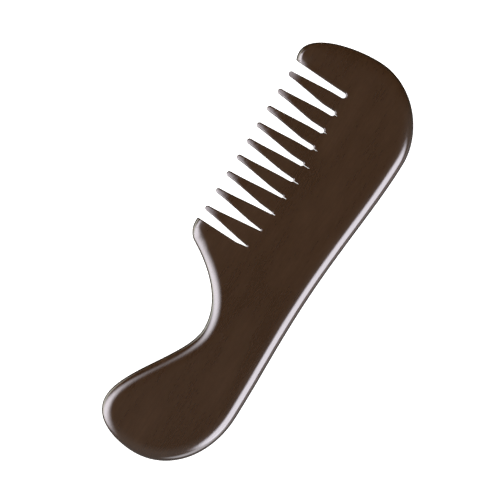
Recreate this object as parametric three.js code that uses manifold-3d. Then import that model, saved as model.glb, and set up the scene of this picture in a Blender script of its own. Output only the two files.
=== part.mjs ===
// A handled beard comb, cut from one plate.
//
// The outline is cut out first, both rims are rounded over, and ten slots are then sawn in from the
// front edge. They leave nine tapered teeth between a horn at the handle and a wide guard at the head.
// Millimetres. X runs from the handle to the head, Y from the back edge to the tooth tips, and Z is
// the thickness. While it is drawn, X = 0 is the first slot and Y = 0 the line of the slot roots.

import * as THREE from "three";
import { mergeVertices } from "three/addons/utils/BufferGeometryUtils.js";
import Module from "manifold-3d";

const wasm = await Module();
wasm.setup();

// Plate
const plateThickness = 4.5;
const rimReach = 3.0;         // from the outline in to where the flat face starts
const rimLand = 0.4;          // upright band left at mid thickness

// Teeth and slots
const slotCount = 10;
const toothPitch = 5.38;
const toothLength = 16.5;
const toothTipRadius = 0.75;
const toothLean = 0.35;       // each tip stands this much nearer the head than its root
const pitchWander = 0.4;      // the hand-set slots drift this far off an even pitch
const narrowSlot = 0.55;      // root width of the slot next to the handle
const wideSlot = 1.6;         // root width of the slot next to the head
const shallowCut = 1.7;       // how much the first slot stops short of the root line
const cutFade = 0.3;          // share of that left at each following slot
const guardFlare = 0.2;       // how far the two outermost slot walls open towards the mouth

// Horn, the hooked guard beside the handle
const hornCrest = 1.1;        // first slot back to the top of the horn
const hornRise = 0.3;         // the horn stands this much above the tooth tips
const flankBack = 5.15;       // crest to the start of the hook
const flankDrop = 2.68;
const flankSlope = 60.6;      // degrees

// Neck and handle
const neckReach = 25.2;       // first slot to the bottom of the finger rest
const neckDrop = 0.53;        // the finger rest dips this far below the root line
const handleLength = 38.3;    // from there to the end of the handle
const handleRise = 12.4;      // top of the handle above the root line
const handleTopInset = 9.2;   // from the end of the handle
const handleEndDrop = 1.6;
const heelInset = 22.7;       // end of the handle to its lowest point
const heelDepth = 20.65;      // each depth is measured down from the root line

// Back edge and head
const waistBack = 10.4;       // first slot back to the shallowest point of the back edge
const waistDepth = 20.15;
const headGuard = 12.97;      // last slot to the end of the head
const bellyInset = 20.5;      // end of the head to the deepest point of the back edge
const bellyDepth = 22.9;
const noseDrop = 3.0;         // where the head reaches farthest
const shoulderInset = 9.1;
const shoulderRise = 0.67;    // the head stands this much above the tooth tips
const tipGap = 0.08;          // blank left above the tooth tips before they are cut round

// Smoothness of the mesh
const curveSteps = 16;
const rimSteps = 6;

const slotRow = (slotCount - 1) * toothPitch;
const headEnd = slotRow + headGuard;
const handleEnd = -neckReach - handleLength;

// A place where the outline's direction is known. The heading is in degrees: 0 runs to the head,
// 90 towards the tooth tips.
function station(x, y, heading) {
  const angle = THREE.MathUtils.degToRad(heading);
  return { at: new THREE.Vector2(x, y), along: new THREE.Vector2(Math.cos(angle), Math.sin(angle)) };
}

// One smooth stretch of outline. Each fullness is the share of the way, measured along the heading,
// that the curve keeps its direction at that end: about 0.55 at both ends is a quarter circle.
function sweep(outline, from, to, startFullness, endFullness) {
  const way = to.at.clone().sub(from.at);
  const first = from.at.clone().addScaledVector(from.along, startFullness * way.dot(from.along));
  const second = to.at.clone().addScaledVector(to.along, -endFullness * way.dot(to.along));
  outline.bezierCurveTo(first.x, first.y, second.x, second.y, to.at.x, to.at.y);
}

function blankOutline() {
  const crest = station(-hornCrest, toothLength + hornRise, 180);
  const flank = station(crest.at.x - flankBack, crest.at.y - flankDrop, 180 + flankSlope);
  const neck = station(-neckReach, -neckDrop, 180);
  const handleTop = station(handleEnd + handleTopInset, handleRise, 180);
  const handleTail = station(handleEnd, -handleEndDrop, 270);
  const heel = station(handleEnd + heelInset, -heelDepth, 0);
  const waist = station(-waistBack, -waistDepth, 0);
  const belly = station(headEnd - bellyInset, -bellyDepth, 0);
  const nose = station(headEnd, -noseDrop, 90);
  const shoulder = station(headEnd - shoulderInset, toothLength + shoulderRise, 180);
  const tipLine = station(slotRow / 2, toothLength + tipGap, 180);

  const outline = new THREE.Shape();
  outline.moveTo(crest.at.x, crest.at.y);
  sweep(outline, crest, flank, 0.33, 0.39);
  sweep(outline, flank, neck, 0.34, 0.47);
  sweep(outline, neck, handleTop, 0.28, 0.29);
  sweep(outline, handleTop, handleTail, 0.74, 0.43);
  sweep(outline, handleTail, heel, 0.58, 0.56);
  sweep(outline, heel, waist, 0.45, 0.45);
  sweep(outline, waist, belly, 0.42, 0.31);
  sweep(outline, belly, nose, 0.49, 0.56);
  sweep(outline, nose, shoulder, 0.41, 0.65);
  sweep(outline, shoulder, tipLine, 0.35, 0.35);
  sweep(outline, tipLine, crest, 0.35, 0.35);
  return outline;
}

function slotPlace(index) {
  return index * toothPitch + pitchWander * Math.sin((2 * Math.PI * index) / (slotCount - 1));
}

function slotHalfWidth(index) {
  return THREE.MathUtils.lerp(narrowSlot, wideSlot, index / (slotCount - 1)) / 2;
}

// The tooth between this slot and the next one
function toothTipPlace(index) {
  return (slotPlace(index) + slotPlace(index + 1)) / 2 + toothLean;
}

// Everything the saw takes away: the slots, and the sliver above the tooth tips that joins them. A
// slot's walls leave its round root side by side and flare towards the mouth, where they run over
// into the round tips of the teeth.
function sawOutline() {
  const mouth = toothLength - toothTipRadius;
  const clear = toothLength + 2 * toothTipRadius + hornRise + shoulderRise;
  const lastSlot = slotCount - 1;
  const start = slotPlace(0) - slotHalfWidth(0) - guardFlare;
  const end = slotPlace(lastSlot) + slotHalfWidth(lastSlot) + guardFlare;

  const outline = new THREE.Shape();
  outline.moveTo(start, clear);
  outline.lineTo(start, mouth);
  for (let index = 0; index < slotCount; index += 1) {
    const middle = slotPlace(index);
    const half = slotHalfWidth(index);
    const root = shallowCut * Math.pow(cutFade, index) + half;
    const bend = (root + mouth) / 2;
    const farWall = index === lastSlot ? end : toothTipPlace(index) - toothTipRadius;
    outline.quadraticCurveTo(middle - half, bend, middle - half, root);
    outline.absarc(middle, root, half, Math.PI, 2 * Math.PI, false);
    outline.quadraticCurveTo(middle + half, bend, farWall, mouth);
    if (index < lastSlot) {
      outline.absarc(toothTipPlace(index), mouth, toothTipRadius, Math.PI, 0, true);
    }
  }
  outline.lineTo(end, clear);
  return outline;
}

function toSolid(geometry) {
  geometry.deleteAttribute("normal");
  geometry.deleteAttribute("uv");
  const merged = mergeVertices(geometry);
  const vertProperties = new Float32Array(merged.attributes.position.array);
  const triVerts = new Uint32Array(merged.index.array);
  return new wasm.Manifold(new wasm.Mesh({ numProp: 3, vertProperties, triVerts }));
}

function toGeometry(solid) {
  const mesh = solid.getMesh();
  const geometry = new THREE.BufferGeometry();
  geometry.setAttribute("position", new THREE.BufferAttribute(mesh.vertProperties, 3));
  geometry.setIndex(new THREE.BufferAttribute(mesh.triVerts, 1));
  geometry.computeVertexNormals();
  return geometry;
}

// The rim's section is a quarter ellipse on each side of the land, and the widest outline is the drawn
// one.
function blankSolid() {
  const rimHeight = (plateThickness - rimLand) / 2;
  const blank = new THREE.ExtrudeGeometry(blankOutline(), {
    depth: rimLand,
    bevelThickness: rimHeight,
    bevelSize: rimReach,
    bevelOffset: -rimReach,
    bevelSegments: rimSteps,
    curveSegments: curveSteps,
  });
  blank.translate(0, 0, rimHeight);
  return toSolid(blank);
}

function sawSolid() {
  const saw = new THREE.ExtrudeGeometry(sawOutline(), {
    depth: 3 * plateThickness,
    bevelEnabled: false,
    curveSegments: curveSteps / 2,
  });
  saw.translate(0, 0, -plateThickness);
  return toSolid(saw);
}

const darkHorn = new THREE.MeshStandardMaterial({ color: 0x3e2d22, roughness: 0.22, metalness: 0 });

const combGeometry = toGeometry(blankSolid().subtract(sawSolid()));
const comb = new THREE.Mesh(combGeometry, darkHorn);
comb.name = "comb";

// The finished comb lies on Z = 0, centred on the origin.
combGeometry.computeBoundingBox();
const middle = combGeometry.boundingBox.getCenter(new THREE.Vector3());
comb.position.set(-middle.x, -middle.y, 0);

const beardComb = new THREE.Group();
beardComb.name = "beard_comb";
beardComb.add(comb);

export default beardComb;
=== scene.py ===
import math

import bmesh
import bpy
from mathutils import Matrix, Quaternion, Vector


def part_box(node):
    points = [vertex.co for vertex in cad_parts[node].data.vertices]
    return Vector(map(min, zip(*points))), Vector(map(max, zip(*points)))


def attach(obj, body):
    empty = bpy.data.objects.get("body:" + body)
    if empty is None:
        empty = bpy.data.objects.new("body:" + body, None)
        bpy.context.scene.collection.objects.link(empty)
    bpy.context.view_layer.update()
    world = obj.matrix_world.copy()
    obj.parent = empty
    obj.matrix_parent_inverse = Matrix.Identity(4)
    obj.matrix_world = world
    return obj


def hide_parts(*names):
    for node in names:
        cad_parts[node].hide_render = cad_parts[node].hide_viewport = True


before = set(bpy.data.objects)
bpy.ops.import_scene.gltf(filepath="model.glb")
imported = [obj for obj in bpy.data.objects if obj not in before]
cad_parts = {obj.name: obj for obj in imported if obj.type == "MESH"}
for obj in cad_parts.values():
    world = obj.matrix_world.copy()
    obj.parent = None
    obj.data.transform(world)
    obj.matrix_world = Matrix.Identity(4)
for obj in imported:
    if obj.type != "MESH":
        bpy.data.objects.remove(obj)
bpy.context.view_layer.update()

# ---------------------------------------------------------------------------------------------
# The comb. A handled beard comb is one plate of dark horn. Its outline and slots are sawn out and
# filed to soft curves, its rims are rounded over until they feel like a pebble, and the tooth tips
# are thinned so that they slide in. It is drawn in millimetres, in the place the frame gives it.
# ---------------------------------------------------------------------------------------------
bpy.ops.object.select_all(action="DESELECT")

MM = 0.001
low, high = (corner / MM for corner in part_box("comb"))
plate_thickness = high.z - low.z
rim_reach = 4.0             # how far the round of the rim runs in over the face
rim_fullness = 0.547        # 0.5 is a true ellipse, more is fuller at the shoulder
rim_land = 0.4              # the upright strip left between the two rounds
middle_height = low.z + plate_thickness / 2
rim_segments = 18

slot_count = 10
tooth_pitch = 5.38
pitch_wander = 0.4          # the slots were marked out by hand
tooth_length = 16.5
tooth_lean = 0.35
tip_radius = 0.75
kerf_length = 4.3           # the saw cut, below the place where the file opened the slot
kerf_root_half = (0.12, 0.79)      # half widths, at the horn and at the head
kerf_mouth_half = (0.55, 0.86)
kerf_growth = 1.3
shallow_cut = 1.3           # the first slot stops this far short of the root line
cut_fade = 0.3              # and each next one by this share of the one before
slot_margin = 12.97         # from the last slot to the nose
tooth_margin = 17.17        # from the root line to the top of the head
slot_row = (slot_count - 1) * tooth_pitch
first_slot = high.x - slot_margin - slot_row
root_line = high.y - tooth_margin
quarter_round = 0.552       # handle length of a quarter circle drawn with one Bezier stretch


def station(x, y, heading, before, after):
    """A place on the outline, from the first slot and the root line: where it lies, which way the
    outline runs there in degrees, and how long it holds that way before and after. A hold of 0
    leaves that side straight."""
    along = Vector((math.cos(math.radians(heading)), math.sin(math.radians(heading)), 0))
    place = Vector((first_slot + x, root_line + y, 0))
    return place, place - along * before, place + along * after


def share(index):
    """How far along the row a slot is, 0 at the horn and 1 at the head."""
    return index / (slot_count - 1)


def between(ends, part):
    return ends[0] + (ends[1] - ends[0]) * part


def slot_place(index):
    return index * tooth_pitch + pitch_wander * math.sin(2 * math.pi * share(index))


def slot_half(index):
    """Half the slot's width at its round root and at the mouth of the saw cut."""
    root = between(kerf_root_half, math.sin(math.pi / 2 * share(index)) ** kerf_growth)
    return root, between(kerf_mouth_half, share(index))


head_end = high.x - first_slot
handle_end = low.x - first_slot
back = low.y - root_line
front = high.y - root_line
crest = tooth_length + 0.3
guard_start = slot_place(0) - 0.3              # the slot side of the horn
guard_end = slot_place(slot_count - 1) + 1.4   # the slot side of the head
guard_drop = 0.5                               # how far the head slopes down to its corner
mouth_overhang = 0.5                           # the first slot's mouth runs in under the horn
outline = [
    station(-1.1, crest, 180, 0, 2.0),                            # crest of the horn
    station(-6.25, crest - 2.68, 240.6, 2.1, 7.5),                # flank of the horn
    station(-25.2, -0.53, 180, 8.9, 8.2),                         # bottom of the finger rest
    station(handle_end + 9.2, 12.4, 180, 8.45, 6.8),              # top of the handle
    station(handle_end, -1.6, 270, 6.0, 11.1),                    # end of the handle
    station(handle_end + 22.7, back + 2.25, 0, 12.7, 13.8),       # heel
    station(-10.4, back + 2.75, 0, 13.8, 21.5),                   # waist
    station(head_end - 20.5, back, 0, 15.9, 10.1),                # belly
    station(head_end, -3.0, 90, 11.2, 8.3),                       # nose
    station(head_end - 9.1, front, 180, 5.9, 1.3),                # shoulder
    station(guard_end, front - guard_drop, 270, 0, 0),            # corner of the head
]


def slot_stations(index):
    """One slot, from its head side round the root to its horn side."""
    middle = slot_place(index)
    root_half, mouth_half = slot_half(index)
    root = shallow_cut * cut_fade ** index + root_half
    turn = quarter_round * root_half
    return [
        station(middle + mouth_half, kerf_length, 270, 0, 0),
        station(middle + root_half, root, 270, 0, turn),
        station(middle, root - root_half, 180, turn, turn),
        station(middle - root_half, root, 90, turn, 0),
        station(middle - mouth_half, kerf_length, 90, 0, 0),
    ]


def tip_stations(index):
    """The round tip of the tooth between a slot and the one before it."""
    middle = (slot_place(index - 1) + slot_place(index)) / 2 + tooth_lean
    base = tooth_length - tip_radius
    turn = quarter_round * tip_radius
    flank = 3.2             # the flanks draw in along a curve this long
    return [
        station(middle + tip_radius, base, 92, flank, turn),
        station(middle, tooth_length, 180, turn, turn),
        station(middle - tip_radius, base, 266, turn, flank),
    ]


for index in reversed(range(slot_count)):
    outline += slot_stations(index)
    if index > 0:
        outline += tip_stations(index)
outline.append(station(guard_start, crest, 90, 0, 0))

# A Bezier circle gets as many points as there are stations, and each is pulled to its station.
bpy.ops.curve.primitive_bezier_circle_add(radius=10)
drawn = bpy.context.object
drawn.data.resolution_u = 24
bpy.ops.object.mode_set(mode="EDIT")
spline = drawn.data.splines[0]
while len(spline.bezier_points) < len(outline):
    bpy.ops.curve.select_all(action="DESELECT")
    missing = len(outline) - len(spline.bezier_points)
    for point in spline.bezier_points[: min(missing + 1, len(spline.bezier_points))]:
        point.select_control_point = True
    bpy.ops.curve.subdivide()
    spline = drawn.data.splines[0]
for point, (place, before, after) in zip(spline.bezier_points, outline):
    point.handle_left_type = "FREE" if before != place else "VECTOR"
    point.handle_right_type = "FREE" if after != place else "VECTOR"
    point.co, point.handle_left, point.handle_right = place, before, after
bpy.ops.object.mode_set(mode="OBJECT")
bpy.ops.object.convert(target="MESH")
plate = bpy.context.object
plate.name = "comb_plate"


def pick(test, kind="edges"):
    """Selects, in edit mode, only the edges, vertices or faces that pass the test."""
    bpy.ops.mesh.select_all(action="DESELECT")
    shape = bmesh.from_edit_mesh(bpy.context.object.data)
    for part in getattr(shape, kind):
        if test(part):
            part.select_set(True)
    shape.select_flush_mode()
    bmesh.update_edit_mesh(bpy.context.object.data)


def in_tooth_row(place):
    """Between the guards, with the first slot's mouth, which is wider than its guard leaves."""
    return (guard_start - mouth_overhang < place.x - first_slot < guard_end + 0.01
            and place.y > root_line - 1)


def on_rim(edge):
    """A level edge of the outline that isn't in the tooth row."""
    start, end = (vertex.co for vertex in edge.verts)
    return abs(start.z - end.z) < 0.01 and not (in_tooth_row(start) and in_tooth_row(end))


# Filled and drawn up thick enough for round rims, bevelled, then pressed to the plate's thickness,
# so that each rim is half an ellipse.
thick = 2 * rim_reach + rim_land
bpy.ops.object.mode_set(mode="EDIT")
bpy.ops.mesh.select_all(action="SELECT")
bpy.ops.mesh.remove_doubles(threshold=0.001)
bpy.ops.mesh.edge_face_add()
bpy.ops.mesh.extrude_region_move(TRANSFORM_OT_translate={"value": (0, 0, thick)})
bpy.ops.mesh.select_all(action="SELECT")
bpy.ops.mesh.normals_make_consistent(inside=False)
bpy.ops.mesh.select_mode(type="EDGE")
pick(on_rim)
bpy.ops.mesh.bevel(offset=rim_reach, segments=rim_segments, profile=rim_fullness, affect="EDGES",
                   clamp_overlap=False)
bpy.ops.mesh.select_all(action="SELECT")
bpy.ops.transform.resize(value=(1, 1, plate_thickness / thick), center_override=(0, 0, 0))
bpy.ops.object.mode_set(mode="OBJECT")

# The sawn edges are eased with a fine file.
bpy.ops.object.modifier_add(type="BEVEL")
ease = plate.modifiers[-1]
ease.width = 0.4
ease.segments = 5
ease.limit_method = "ANGLE"
ease.angle_limit = math.radians(40)
ease.use_clamp_overlap = False
bpy.ops.object.modifier_apply(modifier=ease.name)

# Some saw cuts ran on a little past the round end of their slot, the longest near the middle.
runout_slots = range(2, 9)
runout_width = 0.3
runout_taper = 0.6
runout_shortest = 0.8
runout_extra = 1.3
runout_middle = 4.7
for index in runout_slots:
    middle = first_slot + slot_place(index)
    root = root_line + shallow_cut * cut_fade ** index
    length = runout_shortest + runout_extra * max(0, 1 - abs(index - runout_middle) / 2)
    bpy.ops.mesh.primitive_cube_add(size=1, location=(middle, root, middle_height))
    saw = bpy.context.object
    saw.scale = (runout_width, 2 * length, 2 * plate_thickness)
    bpy.ops.object.transform_apply(location=True, rotation=True, scale=True)
    bpy.ops.object.mode_set(mode="EDIT")
    pick(lambda vertex: vertex.co.y < root, "verts")
    bpy.ops.transform.resize(value=(runout_taper, 1, 1), center_override=(middle, 0, 0))
    bpy.ops.object.mode_set(mode="OBJECT")
    bpy.ops.object.select_all(action="DESELECT")
    plate.select_set(True)
    bpy.context.view_layer.objects.active = plate
    bpy.ops.object.modifier_add(type="BOOLEAN")
    cut = plate.modifiers[-1]
    cut.operation = "DIFFERENCE"
    cut.solver = "EXACT"
    cut.object = saw
    bpy.ops.object.modifier_apply(modifier=cut.name)
    bpy.data.objects.remove(saw)


def soft_step(value):
    """From 0 to 1 with a gentle start and end, and level beyond them."""
    value = min(max(value, 0), 1)
    return value ** 2 * (3 - 2 * value)


# Towards the corner of the head and the tip of the horn the round narrows. The fraction of the
# round that a point lies in follows from its height, so only heights are set again. Each place has
# the distance within which the round is narrowest, and the one beyond which it is whole.
narrowed_share = 0.62
narrowed = ((guard_end, front - guard_drop, 5, 11), (-1.1, crest, 1, 6))
land_half = plate_thickness * rim_land / thick / 2
round_height = plate_thickness / 2 - land_half
fullness = -2 * math.log(2) / math.log(rim_fullness)
for vertex in plate.data.vertices:
    place = Vector((vertex.co.x - first_slot, vertex.co.y - root_line))
    narrowing = 0
    for x, y, narrowest, whole in narrowed:
        distance = (place - Vector((x, y))).length
        narrowing = max(narrowing, soft_step((whole - distance) / (whole - narrowest)))
    height = abs(vertex.co.z - middle_height)
    risen = min(max((height - land_half) / round_height, 0), 1)
    if narrowing > 0 and 0 < risen < 1:
        inwards = 1 - (1 - risen ** fullness) ** (1 / fullness)
        inwards = min(inwards / (1 - narrowed_share * narrowing), 1)
        risen = (1 - (1 - inwards) ** fullness) ** (1 / fullness)
        height = math.copysign(land_half + round_height * risen, vertex.co.z - middle_height)
        vertex.co.z = middle_height + height

# Where the rounds crowd together at the shoulder, the flat points between them are evened out.
crowd = Vector((first_slot + head_end - 9.2, root_line + front - rim_reach))
crowd_radius = 2
level_with_face = plate_thickness / 2 - 0.001
bpy.ops.object.mode_set(mode="EDIT")
bpy.ops.mesh.select_mode(type="VERT")
pick(lambda vertex: (vertex.co.xy - crowd).length < crowd_radius
     and abs(vertex.co.z - middle_height) > level_with_face, "verts")
bpy.ops.mesh.vertices_smooth(factor=0.5, repeat=25, xaxis=True, yaxis=True, zaxis=False)

# Cuts across the teeth, and then each tip is pressed thinner. The horn is thinned less than the
# teeth, and the head not at all past its corner.
thin_start = 9.6
thin_reach = tooth_length - thin_start
thin_steps = 14
tip_thickness = 0.57
horn_thinning = 0.65
head_fade_start = guard_end - 0.5
head_fade_reach = 3.0
for step in range(thin_steps):
    bpy.ops.mesh.select_all(action="SELECT")
    level = root_line + thin_start + thin_reach * step / thin_steps
    bpy.ops.mesh.bisect(plane_co=(0, level, 0), plane_no=(0, 1, 0))
bpy.ops.object.mode_set(mode="OBJECT")
for vertex in plate.data.vertices:
    x = vertex.co.x - first_slot
    hold = horn_thinning if x < 0 else 1 - soft_step((x - head_fade_start) / head_fade_reach)
    depth = max(vertex.co.y - root_line - thin_start, 0) / thin_reach
    press = 1 - (1 - tip_thickness) * depth ** 2 * hold
    vertex.co.z = middle_height + (vertex.co.z - middle_height) * press

# Brought from millimetres to the frame's metres, with its faces kept flat in the shading.
bpy.ops.object.mode_set(mode="EDIT")
bpy.ops.mesh.select_all(action="SELECT")
bpy.ops.transform.resize(value=(MM, MM, MM), center_override=(0, 0, 0))
bpy.ops.object.mode_set(mode="OBJECT")
bpy.ops.object.shade_smooth()
bpy.ops.object.modifier_add(type="WEIGHTED_NORMAL")
flat_faces = plate.modifiers[-1]
flat_faces.keep_sharp = False
bpy.ops.object.modifier_apply(modifier=flat_faces.name)
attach(plate, "root")
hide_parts("comb")

horn = bpy.data.materials.new("polished_dark_horn")
horn.use_nodes = True
horn_tree = horn.node_tree


def add_node(kind, sockets, **settings):
    """Adds a shader node to the horn. A socket is given a number, or an output to be linked."""
    made = horn_tree.nodes.new("ShaderNode" + kind)
    for name, value in settings.items():
        setattr(made, name, value)
    for name, value in sockets.items():
        if isinstance(value, bpy.types.NodeSocket):
            horn_tree.links.new(value, made.inputs[name])
        else:
            made.inputs[name].default_value = value
    return made


def grain(scale, stretch, turn, detail):
    """Noise drawn out along the comb, as horn grows, or along the way it was rubbed."""
    laid = add_node("Mapping", {"Vector": place.outputs["Object"], "Scale": (1, stretch, stretch),
                                "Rotation": (0, 0, math.radians(turn))})
    return add_node("TexNoise", {"Vector": laid.outputs["Vector"], "Scale": scale, "Detail": detail,
                                 "Roughness": 0.55}).outputs["Fac"]


def ranged(value, start, end, least, most):
    """Stretches the values from start to end over least to most."""
    return add_node("MapRange", {"Value": value, "From Min": start, "From Max": end, "To Min": least,
                                 "To Max": most}).outputs["Result"]


def combined(operation, first, second):
    """The sum, product or other joining of two outputs."""
    joined = add_node("Math", {}, operation=operation)
    horn_tree.links.new(first, joined.inputs[0])
    horn_tree.links.new(second, joined.inputs[1])
    return joined.outputs["Value"]


horn_dark = (0.0335, 0.0156, 0.0068, 1)
horn_warm = (0.0435, 0.0212, 0.0096, 1)
worn_brighter = 1.35
polish = (0.09, 0.13)
rubbed_dullness = 0.04
worn_dullness = 0.1
wall_dullness = 0.22

# The grain runs along the comb, and the polishing cloth ran slantwise over it.
place = add_node("TexCoord", {})
clouds = grain(48, 3, 8, 4)
fibres = grain(150, 22, 3, 3)
flecks = grain(620, 2.5, 0, 2)
rubbed = grain(240, 34, 24, 2)
swell = grain(20, 1.3, 0, 0)

# Colour: near-black brown with warmer clouds, faint fibres and small flecks.
tones = add_node("ValToRGB", {"Fac": clouds})
ramp = tones.color_ramp
ramp.elements[0].position = 0.3
ramp.elements[0].color = horn_dark
ramp.elements[1].position = 0.72
ramp.elements[1].color = horn_warm
depth_of_tone = combined("MULTIPLY", ranged(fibres, 0.3, 0.7, 0.94, 1.06),
                         ranged(flecks, 0.35, 0.65, 0.97, 1.03))

# The edges of the teeth are worn a little paler and duller, and the sawn walls were never polished.
# Both are found by how far the surface leans from level, and only in the row of teeth.
normal = add_node("SeparateXYZ", {"Vector": place.outputs["Normal"]}).outputs["Z"]
level = add_node("Math", {0: normal}, operation="ABSOLUTE").outputs["Value"]
spot = add_node("SeparateXYZ", {"Vector": place.outputs["Object"]}).outputs["Y"]
in_row = ranged(spot, (root_line - 1) * MM, (root_line + 3) * MM, 0, 1)
wall = combined("MULTIPLY", ranged(level, 0.5, 0.05, 0, 1), in_row)
edge = combined("MULTIPLY", ranged(level, 0.98, 0.75, 0, 1), in_row)
worn = combined("MULTIPLY", edge, ranged(flecks, 0.4, 0.6, 0.2, 1))
brightness = combined("MULTIPLY", depth_of_tone, ranged(worn, 0, 1, 1, worn_brighter))
colour = add_node("HueSaturation", {"Color": tones.outputs["Color"], "Value": brightness})

# Gloss: a hand polish, smoother on the clouds' dark parts, with fine rubbing marks.
gloss = combined("ADD", ranged(clouds, 0.3, 0.7, *polish),
                 ranged(rubbed, 0.35, 0.7, 0, rubbed_dullness))
gloss = combined("ADD", gloss, ranged(worn, 0, 1, 0, worn_dullness))
gloss = combined("ADD", gloss, ranged(wall, 0, 1, 0, wall_dullness))

# Relief: the slow swell that a hand leaves in a rim, then grain and marks a few thousandths deep.
relief = None
reliefs = ((swell, 0.0012), (fibres, 0.000005), (rubbed, 0.000004), (flecks, 0.000002))
for height, distance in reliefs:
    bump = add_node("Bump", {"Height": height, "Distance": distance, "Strength": 1})
    if relief is not None:
        horn_tree.links.new(relief, bump.inputs["Normal"])
    relief = bump.outputs["Normal"]

shader = horn_tree.nodes["Principled BSDF"]
shader.inputs["IOR"].default_value = 1.55
shader.inputs["Coat Weight"].default_value = 0.3
shader.inputs["Coat Roughness"].default_value = 0.08
shader.inputs["Coat IOR"].default_value = 1.5
horn_tree.links.new(colour.outputs["Color"], shader.inputs["Base Color"])
horn_tree.links.new(gloss, shader.inputs["Roughness"])
horn_tree.links.new(relief, shader.inputs["Normal"])
plate.data.materials.clear()
plate.data.materials.append(horn)

# ---------------------------------------------------------------------------------------------
# The floor. The comb lies on a broad sheet of white paper, which is lit until nothing shows on it.
# The sheet lies a hair below the comb and isn't mirrored in it.
# ---------------------------------------------------------------------------------------------
floor_size = 6
floor_gap = 0.0002
bpy.ops.mesh.primitive_plane_add(size=floor_size, location=(0, 0, -floor_gap))
floor = bpy.context.object
floor.name = "floor"
white = bpy.data.materials.new("white_paper")
white.use_nodes = True
paper = white.node_tree.nodes["Principled BSDF"]
paper.inputs["Base Color"].default_value = (0.85, 0.85, 0.85, 1)
paper.inputs["Roughness"].default_value = 1
paper.inputs["Specular IOR Level"].default_value = 0
paper.inputs["Emission Color"].default_value = (1, 1, 1, 1)
paper.inputs["Emission Strength"].default_value = 1
floor.data.materials.append(white)
floor.visible_glossy = False
floor.visible_diffuse = False
floor.visible_shadow = False

# ---------------------------------------------------------------------------------------------
# The studio. Soft boxes at the back edge and at the horn, and dim cards low beside them, draw the
# gloss on the rims. They have no part in the diffuse light, which comes from a broad soft light
# above that has no mirror image. The room is dim, and a little lighter towards its own side.
# ---------------------------------------------------------------------------------------------
view_turn = math.radians(-58.1)
right = Vector((math.cos(view_turn), math.sin(view_turn), 0))
up = Vector((-math.sin(view_turn), math.cos(view_turn), 0))


def area_light(name, azimuth, polar, distance, width, height, roll, radiance, colour):
    """A flat oval light that faces the comb. Azimuth is in degrees, anticlockwise from the
    camera's right, polar is the angle down from straight above, and roll turns its long side."""
    a, p = math.radians(azimuth), math.radians(polar)
    towards = (right * math.cos(a) + up * math.sin(a)) * math.sin(p) + Vector((0, 0, math.cos(p)))
    data = bpy.data.lights.new(name, "AREA")
    data.shape = "ELLIPSE"
    data.size = width
    data.size_y = height
    oval_area = width * height * math.pi / 4
    data.energy = radiance * math.pi * oval_area
    data.color = colour
    lamp = bpy.data.objects.new(name, data)
    bpy.context.collection.objects.link(lamp)
    lamp.location = towards * distance
    lamp.rotation_mode = "QUATERNION"
    turned = Quaternion((0, 0, 1), math.radians(roll))
    lamp.rotation_quaternion = towards.to_track_quat("Z", "Y") @ turned
    lamp.visible_camera = False
    return lamp


def soften(lamp, core):
    """Lets the light fade from its bright core, a share of its size, to its edge."""
    lamp.data.use_nodes = True
    tree = lamp.data.node_tree
    emission = tree.nodes["Emission"]
    sheet = tree.nodes.new("ShaderNodeNewGeometry")
    centre = tree.nodes.new("ShaderNodeVectorMath")
    centre.operation = "SUBTRACT"
    centre.inputs[1].default_value = (0.5, 0.5, 0)
    length = tree.nodes.new("ShaderNodeVectorMath")
    length.operation = "LENGTH"
    fade = tree.nodes.new("ShaderNodeMapRange")
    fade.interpolation_type = "SMOOTHSTEP"
    fade.inputs["From Min"].default_value = 0.5
    fade.inputs["From Max"].default_value = 0.5 * core
    tree.links.new(sheet.outputs["Parametric"], centre.inputs[0])
    tree.links.new(centre.outputs["Vector"], length.inputs[0])
    tree.links.new(length.outputs["Value"], fade.inputs["Value"])
    tree.links.new(fade.outputs["Result"], emission.inputs["Strength"])


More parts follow.
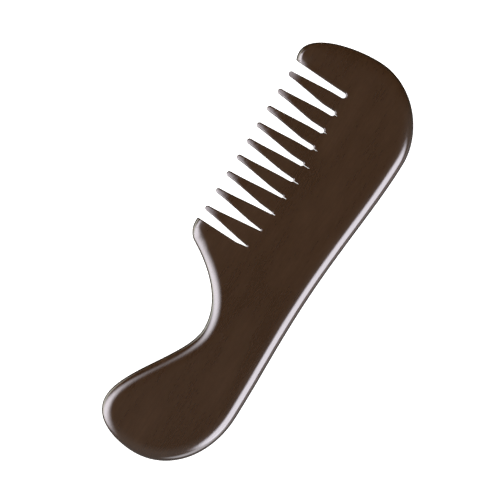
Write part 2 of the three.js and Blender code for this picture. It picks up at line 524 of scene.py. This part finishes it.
softbox_back = area_light("softbox_back", 320, 45, 0.8, 0.74, 0.74, -15, 12, (0.93, 0.9, 1))
skirt_back = area_light("skirt_back", 294, 68, 0.8, 0.95, 0.6, 0, 5.2, (0.95, 0.93, 1))
card_back = area_light("card_back", 325, 86, 0.8, 1.1, 0.3, 0, 1.7, (1, 0.85, 0.85))
softbox_horn = area_light("softbox_horn", 184, 56, 0.45, 1.18, 0.585, -50, 12, (0.95, 0.92, 1))
skirt_horn = area_light("skirt_horn", 168, 94, 0.45, 1.1, 0.42, 0, 4.5, (0.97, 1, 0.9))
cores = ((softbox_back, 0.55), (skirt_back, 0.4), (card_back, 0.6),
         (softbox_horn, 0.15), (skirt_horn, 0.3))
for lamp, core in cores:
    soften(lamp, core)
    lamp.visible_diffuse = False
overhead = area_light("overhead", 120, 15, 1.2, 1.6, 1.6, 0, 3.3, (1, 0.98, 0.95))
overhead.visible_glossy = False

world = bpy.data.worlds.new("studio")
bpy.context.scene.world = world
world.use_nodes = True
tree = world.node_tree
background = tree.nodes["Background"]
background.inputs["Color"].default_value = (1, 1, 1, 1)
bearing = tree.nodes.new("ShaderNodeTexCoord")
facing = tree.nodes.new("ShaderNodeVectorMath")
facing.operation = "DOT_PRODUCT"
room_side = math.radians(290)
facing.inputs[1].default_value = right * math.cos(room_side) + up * math.sin(room_side)
room = tree.nodes.new("ShaderNodeMapRange")
room.interpolation_type = "SMOOTHSTEP"
room.inputs["From Min"].default_value = -0.1
room.inputs["From Max"].default_value = 0.5
room.inputs["To Min"].default_value = 0.02
room.inputs["To Max"].default_value = 0.45
tree.links.new(bearing.outputs["Generated"], facing.inputs[0])
tree.links.new(facing.outputs["Value"], room.inputs["Value"])
tree.links.new(room.outputs["Result"], background.inputs["Strength"])

# ---------------------------------------------------------------------------------------------
# The camera. It looks straight down from far off through a long lens, turned so that the comb
# stands slantwise with its head at the top right.
# ---------------------------------------------------------------------------------------------
view_width = 0.1324
view_middle = (0.0011, 0.00479)
face_height = 0.0045
camera_data = bpy.data.cameras.new("camera")
camera_data.sensor_width = 36
camera_data.lens = 400
camera = bpy.data.objects.new("camera", camera_data)
bpy.context.collection.objects.link(camera)
reach = view_width * camera_data.lens / camera_data.sensor_width
camera.location = (*view_middle, reach + face_height)
camera.rotation_euler = (0, 0, view_turn)
camera_data.clip_end = 10
bpy.context.scene.camera = camera
bpy.context.scene.view_settings.view_transform = "Standard"
